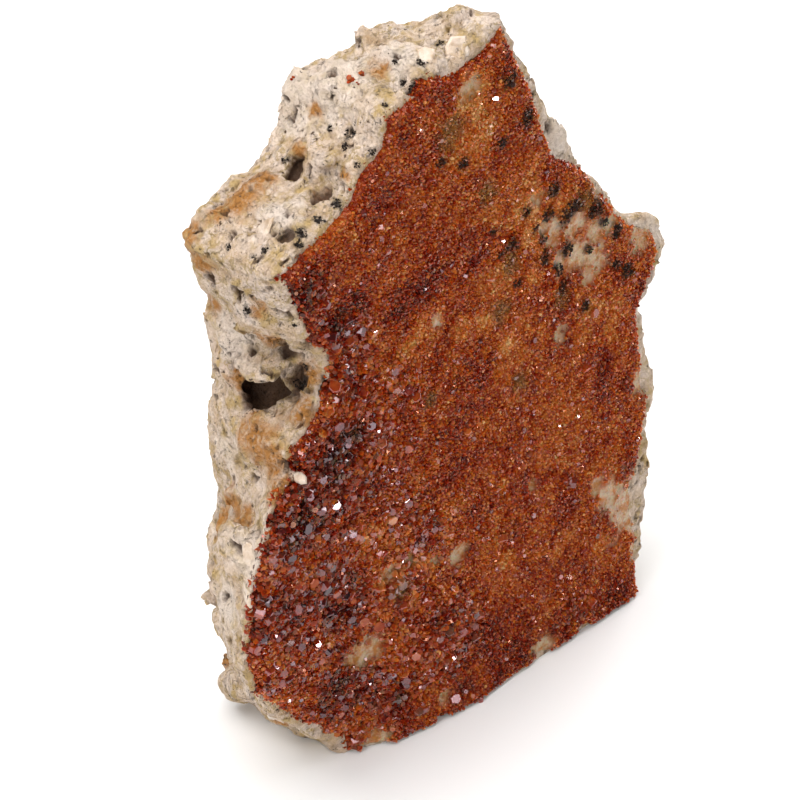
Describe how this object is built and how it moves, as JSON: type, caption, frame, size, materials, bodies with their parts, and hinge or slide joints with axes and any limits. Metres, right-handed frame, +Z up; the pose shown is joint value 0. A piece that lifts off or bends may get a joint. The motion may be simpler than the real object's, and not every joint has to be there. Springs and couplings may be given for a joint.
{
  "type": "vanadinite on matrix",
  "caption": "Hand-sized mineral specimen standing on its long edge: a pale bladed baryte block with one broad face under a druse of small red hexagonal crystals.",
  "frame": {"origin": "middle of the bounding box, on the surface it stands on", "axes": "+Z up, -Y out of the crystal-covered face, +X to the right along that face"},
  "size_m": [0.0748, 0.0314, 0.0912],
  "materials": {
    "baryte_matrix": "rough, bladed and pitted, cream with ochre stains",
    "vanadinite": "adamantine red to orange-brown crystal druse"
  },
  "bodies": {
    "root": {"matrix": "baryte_matrix", "vanadinite_crust": "vanadinite"}
  },
  "joints": []
}
